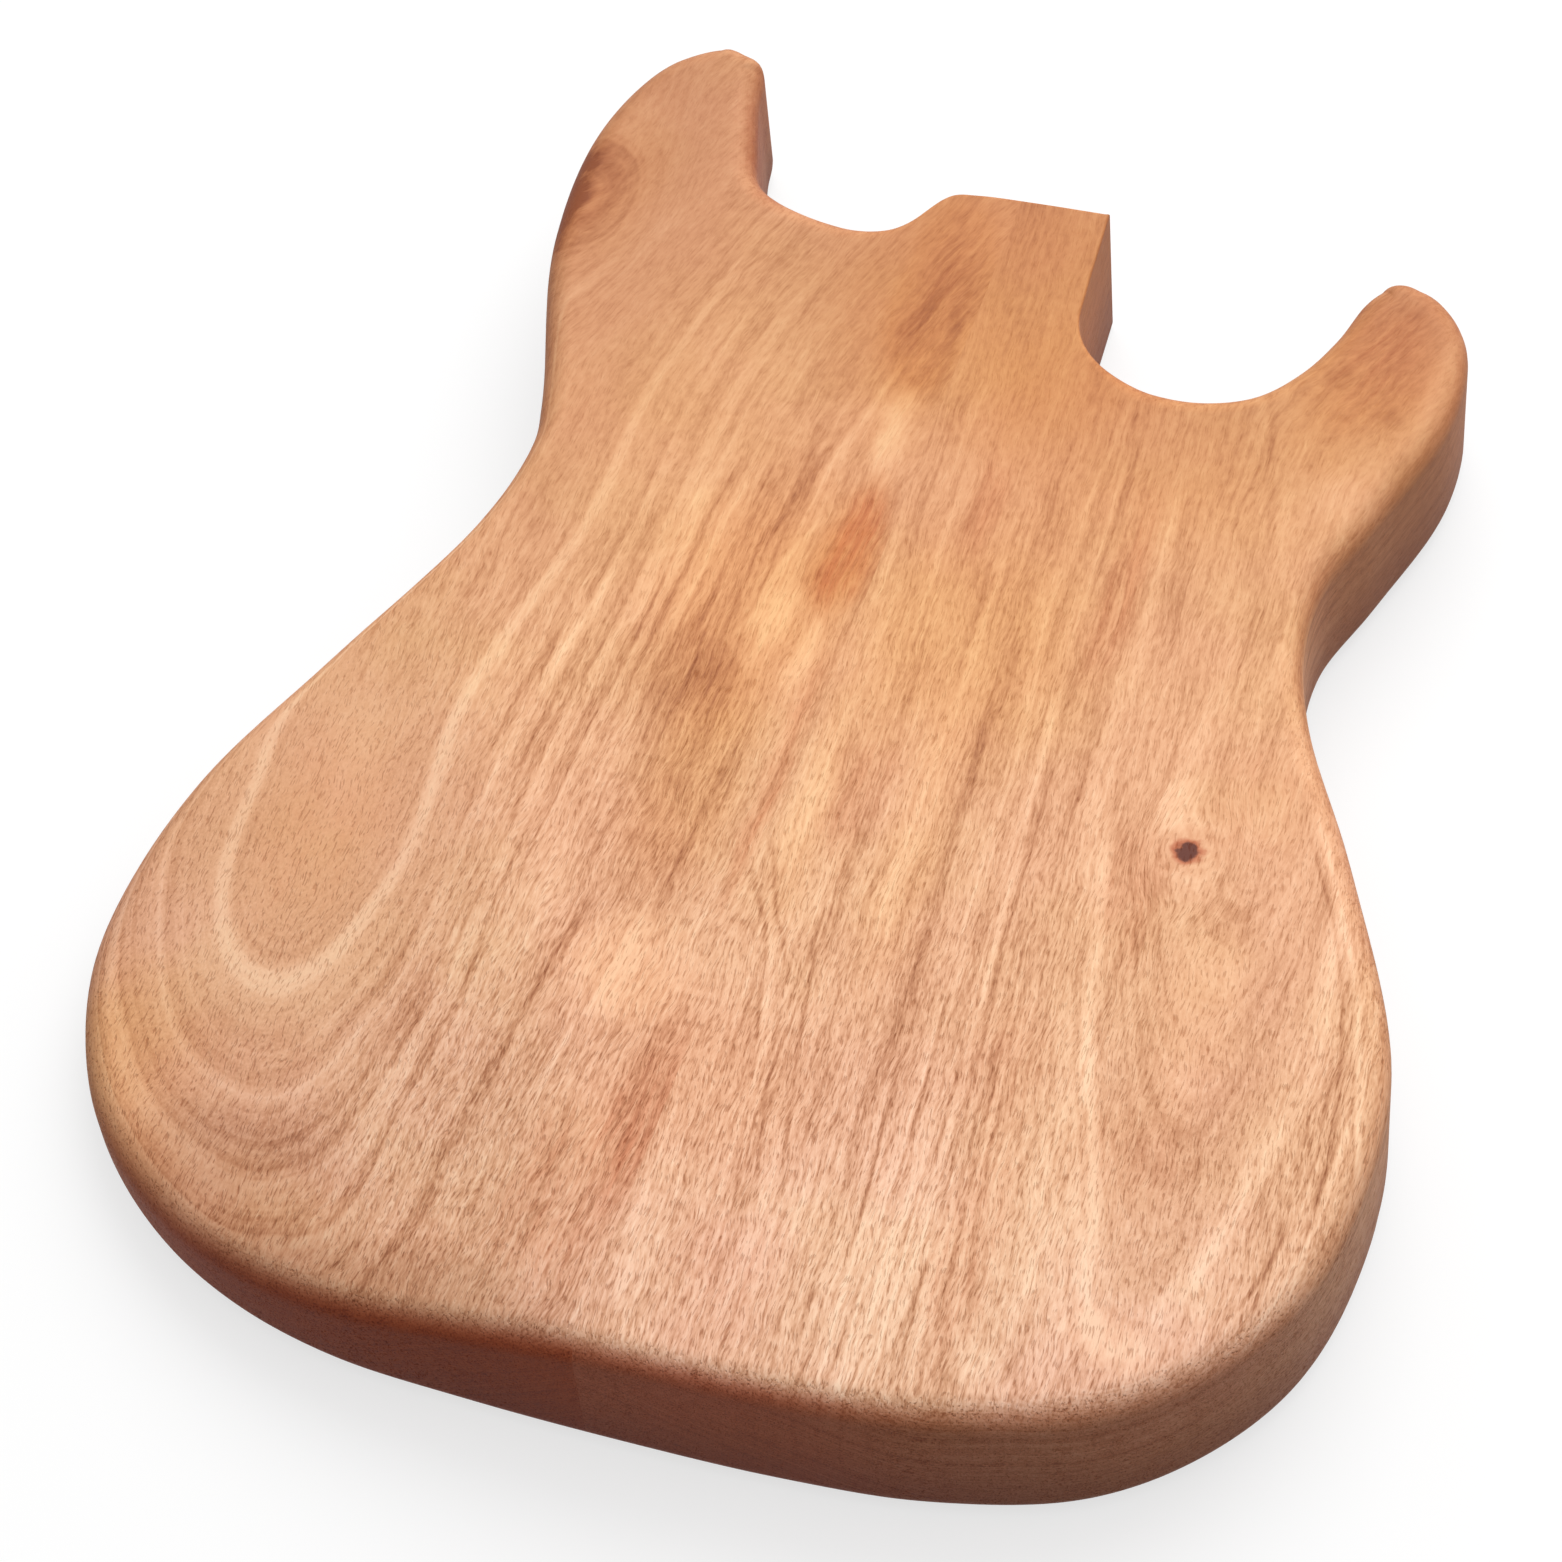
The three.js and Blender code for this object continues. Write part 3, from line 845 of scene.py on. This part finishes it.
def treble_growth(tree, x, y, depth):
    """Rings of the treble board: a fan of lines beside the seam, and arches in the lower bout."""
    x = calc(tree, "SUBTRACT", x, horn_shift(tree, x, y))
    inner = calc(tree, "SUBTRACT", arch_middle, x)
    outer = calc(tree, "MULTIPLY_ADD", x, arch_squeeze, -arch_middle * arch_squeeze)
    down = calc(tree, "MULTIPLY_ADD", y, -arch_blunt, arch_top * arch_blunt)
    down = calc(tree, "MAXIMUM", down, 0)
    arches = ring_distance(tree, calc(tree, "MAXIMUM", inner, outer), down, depth)
    slope = calc(tree, "MULTIPLY_ADD", x, fan_spread, fan_slope)
    shift = product(tree, slope, calc(tree, "SUBTRACT", y, fan_level))
    lines = calc(tree, "ADD", calc(tree, "SUBTRACT", shift, x), arch_middle)
    lines = calc(tree, "MULTIPLY_ADD", depth, line_dip, lines)
    return lerp(tree, fade(tree, x, *lines_to_arches), lines, arches)


def wood_places(tree, growth_rings, fibre_shift, knots):
    """Where a point lies: on the plan, below the front, among the rings and along the fibre."""
    x, y, z = plan_place(tree)
    drop = contour_drop(tree, x, y)
    depth = calc(tree, "SUBTRACT", calc(tree, "SUBTRACT", thickness * per_metre, z), drop)
    depth = calc(tree, "MAXIMUM", depth, 0)
    x = calc(tree, "MULTIPLY_ADD", drop, drawn_aside, x)
    y = calc(tree, "MULTIPLY_ADD", drop, drawn_back, y)
    place = from_parts(tree, x, y, z)
    loose = jostled(tree, place, *patch_jostle)
    x_knot = x
    for knot_x, knot_y, reach in knots:
        pull = patch(tree, place, knot_x, knot_y, *(reach * spread for spread in knot_pull_spread))
        aside = calc(tree, "SUBTRACT", x, knot_x)
        x_knot = calc(tree, "MULTIPLY_ADD", aside, product(tree, pull, knot_pull), x_knot)
    x_ring = swayed(tree, x_knot, mottle(tree, place, *wander_noise), wander_reach)
    x_fibre = calc(tree, "SUBTRACT", x_knot, fibre_shift(tree, x, y))
    x_fibre = swayed(tree, x_fibre, mottle(tree, place, *waver_noise), waver_reach)
    return SimpleNamespace(
        x=x, y=y, depth=depth, place=place, loose=loose, sunk=sunken(tree, loose, z, depth), x_ring=x_ring,
        growth=growth_rings(tree, x_ring, y, depth), fibre=from_parts(tree, x_fibre, y, z))


def wood_strengths(tree, at, calm_patches):
    """Adds to a point how strongly the grain shows there, and how far it faces an end or a side."""
    calm = calc(tree, "MINIMUM", patches(tree, at.place, calm_patches), calmest)
    at.lively = calc(tree, "SUBTRACT", 1, calm)
    at.crispness = fade(tree, at.y, *crisp_along)
    at.roughened = product(tree, at.crispness, fade(tree, at.lively, *rough_when_calm))
    frayed = fade(tree, mottle(tree, at.fibre, *fray_noise), *fray_range)
    at.fray = product(tree, frayed, fade(tree, at.depth, *fray_below))
    coordinates = tree.nodes.new("ShaderNodeTexCoord")
    facing = tree.nodes.new("ShaderNodeSeparateXYZ")
    feed(tree, coordinates.outputs["Normal"], facing.inputs[0])
    at.tail_end = fade(tree, product(tree, facing.outputs[1], -1), *end_turn)
    at.neck_end = fade(tree, facing.outputs[1], *end_turn)
    at.side = fade(tree, calc(tree, "ABSOLUTE", facing.outputs[0]), *side_turn)


def knot_rings(tree, at, knot_x, knot_y, reach):
    """Rings round a knot, as a change of level that fades out at its reach."""
    aside = calc(tree, "SUBTRACT", at.x_ring, knot_x)
    ahead = calc(tree, "MULTIPLY_ADD", at.y, knot_stretch, -knot_stretch * knot_y)
    total = calc(tree, "MULTIPLY_ADD", ahead, ahead, product(tree, aside, aside))
    distance = calc(tree, "SQRT", calc(tree, "MULTIPLY_ADD", at.depth, at.depth, total))
    ring = centred(tree, rings(tree, distance, *knot_ring_noise))
    return product(tree, ring, fade(tree, distance, reach * knot_ring_full, reach, 1, 0))


def marked_parts(tree, at, knots, marks):
    """Pale and dark patches, knots' rings, veins and clouds, as parts of the wood's level."""
    parts = [("pale", product(tree, patches(tree, at.sunk, marks["pale"], patch_depth), at.fray))]
    for knot in knots:
        parts.append(("knots", knot_rings(tree, at, *knot)))
    veins = 0
    for half_width, strength, points in marks["veins"]:
        line = vein(tree, at.x_ring, at.y, half_width, points)
        veins = calc(tree, "MULTIPLY_ADD", line, strength, veins)
    cloud = mottle(tree, at.loose, *cloud_noise)
    veins = product(tree, product(tree, veins, at.fray), calc(tree, "ADD", cloud, 0.5))
    return parts + [("veins", veins), ("clouds", cloud)]


def ring_parts(tree, at, ring_levels, lined_patches):
    """Growth rings, from the broad bands to the hair lines, as parts of the wood's level."""
    faint = calc(tree, "ADD", fade(tree, at.y, *faint_at_waist), fade(tree, at.y, *faint_at_horns))
    bands = lerp(tree, faint, banded(tree, at.growth, ring_levels), 0.5)
    thin = rings(tree, at.growth, *thin_ring_noise)
    lined = product(tree, patches(tree, at.place, lined_patches), centred(tree, thin))
    hair = centred(tree, rings(tree, at.growth, *hair_line_noise))
    layers = centred(tree, rings(tree, at.growth, *layer_noise))
    on_rim = product(tree, fade(tree, at.depth, *layers_below), fade(tree, at.side, *layers_on_side))
    return [("bands", bands), ("thin", thin), ("lined", product(tree, lined, at.crispness)),
            ("hair", product(tree, hair, at.roughened)), ("layers", product(tree, layers, on_rim))]


def fibre_parts(tree, at, scratches):
    """Streaks and finer marks along the fibre, as parts of the wood's level."""
    streaks = centred(tree, mottle(tree, at.fibre, *streak_noise))
    ribbons = centred(tree, mottle(tree, at.fibre, *ribbon_noise))
    threads = centred(tree, mottle(tree, at.fibre, *thread_noise))
    stipple = centred(tree, mottle(tree, at.fibre, *stipple_noise))
    return [("streaks", product(tree, streaks, at.lively)), ("ribbons", product(tree, ribbons, at.lively)),
            ("threads", product(tree, threads, at.lively)),
            ("stipple", product(tree, stipple, fade(tree, at.y, *stipple_along))),
            ("scratches", product(tree, scratches, at.roughened))]


def wood_colour(tree, at, level, marks):
    """The level as a colour, with the slow changes along the board, partly a painted sheen, and over its
    patches, some of them painted shade.
    """
    colour = ramp(tree, level, wood_tones)
    along = calc(tree, "DIVIDE", at.y, plan_length)
    # The tint along the board is partly the wood's own tone and partly a painted sheen, paler towards the
    # tail.
    colour = tinted(tree, colour, 1, ramp(tree, along, length_tone_and_sheen_tints))
    # Red patches are the wood's own tone, except the one on the horn's inner wall, which is painted shade.
    colour = tinted(tree, colour, product(tree, patches(tree, at.loose, marks["red"]), at.fray), red_tint)
    colour = tinted(tree, colour, patches(tree, at.loose, marks["amber"]), amber_tint)
    # Mostly painted shade from the shade patches, partly the wood's own darker tone.
    colour = tinted(tree, colour, patches(tree, at.loose, marks["shade"]), painted_shade_tint)
    blush = fade(tree, mottle(tree, at.place, *blush_noise), *blush_range)
    return tinted(tree, colour, 1, tint(tree, blush, yellow_blush, pink_blush))


def with_knot(tree, colour, at, knot_x, knot_y, reach):
    """The colour with a knot's halo, its brown ring and its dark heart."""
    narrow = reach * knot_halo_width
    halo = patch(tree, at.sunk, knot_x, knot_y, narrow, reach, half_depth=patch_depth)
    colour = tinted(tree, colour, product(tree, halo, knot_halo_strength), knot_halo_tint)
    uneven = jostled(tree, at.place, *heart_jostle)
    shallow = fade(tree, at.depth, *(knot_heart * step for step in knot_below), 1, 0)
    outer = knot_heart * knot_rim
    ring = patch(tree, uneven, knot_x, knot_y, outer, outer, full=knot_full)
    colour = tinted(tree, colour, product(tree, ring, shallow), knot_ring_tint)
    heart = patch(tree, uneven, knot_x, knot_y, knot_heart, knot_heart, full=knot_full)
    return tint(tree, product(tree, heart, shallow), colour, knot_heart_colour)


def with_cut_sides(tree, colour, at, end_tints):
    """The colour with the end grain's redness, which at the tail is partly painted shade, and painted shade
    on the sides and towards the back edge.
    """
    # The tail's end grain is redder wood with painted shade in it, and painted light towards the treble
    # side's far edge.
    colour = tinted(tree, colour, at.tail_end, tint(tree, fade(tree, at.x, *far_end_across), *end_tints))
    colour = tinted(tree, colour, at.neck_end, neck_end_tint)
    # Painted shade on the side walls.
    colour = tinted(tree, colour, at.side, painted_side_shade_tint)
    # Painted shade, darker towards the back: a contact shadow on the walls.
    return tinted(tree, colour, fade(tree, at.depth, *painted_low_shade_below), painted_low_shade_tint)


def sand(tree, shader, pore, scratches):
    """A matt surface with shallow pores and scratches."""
    feed(tree, fade(tree, pore, *pore_roughness), shader.inputs["Roughness"])
    shader.inputs["Specular IOR Level"].default_value = gloss
    bump = tree.nodes.new("ShaderNodeBump")
    bump.invert = True
    bump.inputs["Strength"].default_value = bump_strength
    bump.inputs["Distance"].default_value = bump_height
    feed(tree, calc(tree, "MULTIPLY_ADD", scratches, scratch_bump, pore), bump.inputs["Height"])
    feed(tree, bump.outputs[0], shader.inputs["Normal"])


def sanded_mahogany(name, growth_rings, fibre_shift, ring_levels, knots, marks):
    """Bare sanded wood: growth rings, streaks, patches, short dark pores, and redder, darker end grain.
    Painted shade lies in the shade patches, the tail's end, the sides and towards the back, and a painted
    sheen in the paler tail.
    """
    finish, tree = new_finish(name)
    shader = tree.nodes["Principled BSDF"]
    at = wood_places(tree, growth_rings, fibre_shift, knots)
    wood_strengths(tree, at, marks["calm"])
    dots = mottle(tree, at.fibre, *dot_noise)
    scratches = centred(tree, lerp(tree, at.lively, dots, mottle(tree, at.fibre, *scratch_noise)))
    level = start_level
    parts = marked_parts(tree, at, knots, marks) + ring_parts(tree, at, ring_levels, marks["lined"])
    for kind, part in parts + fibre_parts(tree, at, scratches):
        level = calc(tree, "MULTIPLY_ADD", part, weights[kind], level)
    colour = wood_colour(tree, at, level, marks)
    pores = fade(tree, mottle(tree, at.fibre, *pore_noise), *pore_range)
    pore = product(tree, pores, at.crispness)
    colour = tinted(tree, colour, product(tree, pore, pore_strength), pore_tint)
    for knot in knots:
        colour = with_knot(tree, colour, at, *knot)
    feed(tree, with_cut_sides(tree, colour, at, marks["end"]), shader.inputs["Base Color"])
    sand(tree, shader, pore, scratches)
    return finish


def place_camera():
    camera = bpy.data.objects.new("photo_camera", bpy.data.cameras.new("photo_camera"))
    bpy.context.collection.objects.link(camera)
    camera.data.lens = camera_lens
    gaze = (Vector(camera_aim) - Vector(camera_place)).to_track_quat("-Z", "Y").to_matrix().to_4x4()
    camera.matrix_world = Matrix.Translation(camera_place) @ gaze @ Matrix.Rotation(camera_roll, 4, "Z")
    bpy.context.scene.camera = camera


def seen_by_eye(tree):
    """1 for what the camera sees, straight or in a gloss, and 0 for light on its way to the object."""
    path = tree.nodes.new("ShaderNodeLightPath")
    mirrored = calc(tree, "MAXIMUM", path.outputs["Is Glossy Ray"], path.outputs["Is Transmission Ray"])
    return calc(tree, "MAXIMUM", path.outputs["Is Camera Ray"], mirrored)


def floor_finish():
    """White to the camera, with the object's shadow, but dull to the light that falls on the rims."""
    finish, tree = new_finish("paper_floor")
    paper = tree.nodes["Principled BSDF"]
    paper.inputs["Roughness"].default_value = 0.9
    paper.inputs["Specular IOR Level"].default_value = 0
    eye = seen_by_eye(tree)
    feed(tree, tint(tree, eye, floor_for_light, floor_seen), paper.inputs["Base Color"])
    glow = tree.nodes.new("ShaderNodeEmission")
    mix = tree.nodes.new("ShaderNodeMixShader")
    feed(tree, product(tree, eye, floor_glow), mix.inputs[0])
    feed(tree, paper.outputs[0], mix.inputs[1])
    feed(tree, glow.outputs[0], mix.inputs[2])
    feed(tree, mix.outputs[0], tree.nodes["Material Output"].inputs["Surface"])
    return finish


def lay_floor():
    deselect()
    bpy.ops.mesh.primitive_plane_add(size=floor_size, location=(0, 0, -floor_gap))
    floor = bpy.context.object
    floor.name = "floor"
    floor.data.materials.append(floor_finish())


def light_dome():
    """A world that is bright overhead and behind, dark in front, and even to the eye."""
    world = bpy.data.worlds.new("studio")
    world.use_nodes = True
    tree = world.node_tree
    backdrop = tree.nodes["Background"]
    sky = tree.nodes.new("ShaderNodeTexCoord")
    towards = tree.nodes.new("ShaderNodeVectorMath")
    towards.operation = "DOT_PRODUCT"
    feed(tree, sky.outputs["Generated"], towards.inputs[0])
    towards.inputs[1].default_value = Vector(bright_side).normalized()
    dome = fade(tree, towards.outputs["Value"], *dome_turn, dome_low, dome_high)
    feed(tree, lerp(tree, seen_by_eye(tree), dome, 1), backdrop.inputs["Strength"])
    backdrop.inputs["Color"].default_value = (1, 1, 1, 1)
    bpy.context.scene.world = world


def hang_lamp():
    """One large soft lamp, aimed at the middle of the frame."""
    lamp = bpy.data.objects.new("soft_lamp", bpy.data.lights.new("soft_lamp", "AREA"))
    bpy.context.collection.objects.link(lamp)
    lamp.data.shape = "DISK"
    lamp.data.size = lamp_size
    lamp.data.energy = lamp_power
    lamp.location = lamp_place
    lamp.rotation_euler = (-lamp.location).to_track_quat("-Z", "Y").to_euler()


place_camera()
body = rounded_slab(smoothed_wire(outline_from_walls()))
shape_contours(body)
bass_half = board_of(body, "bass_half", False)
treble_half = board_of(body, "treble_half", True)
bpy.data.objects.remove(body)

bass_marks = {"pale": bass_pale, "red": bass_red, "amber": bass_amber, "shade": bass_painted_shade,
              "calm": bass_calm, "lined": bass_lined, "end": (bass_end_grain_and_shade_tint, bass_end_grain_and_shade_tint),
              "veins": bass_veins}
treble_marks = {"pale": treble_pale, "red": treble_red, "amber": treble_amber, "shade": treble_painted_shade,
                "calm": treble_calm, "lined": treble_lined, "end": (treble_end_grain_and_shade_tint, treble_far_end_grain_and_light_tint),
                "veins": treble_veins}
bass_half.data.materials.append(
    sanded_mahogany("bass_mahogany", bass_growth, seam_lean, bass_levels, bass_knots, bass_marks))
treble_half.data.materials.append(
    sanded_mahogany("treble_mahogany", treble_growth, horn_shift, treble_levels, treble_knots, treble_marks))
for board, node, finish_slot in (
        (bass_half, "bass_board", "bass_wood"),
        (treble_half, "treble_board", "treble_wood")):
    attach(board, "root")
    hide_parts(node)

lay_floor()
light_dome()
hang_lamp()
bpy.context.scene.view_settings.view_transform = "Standard"
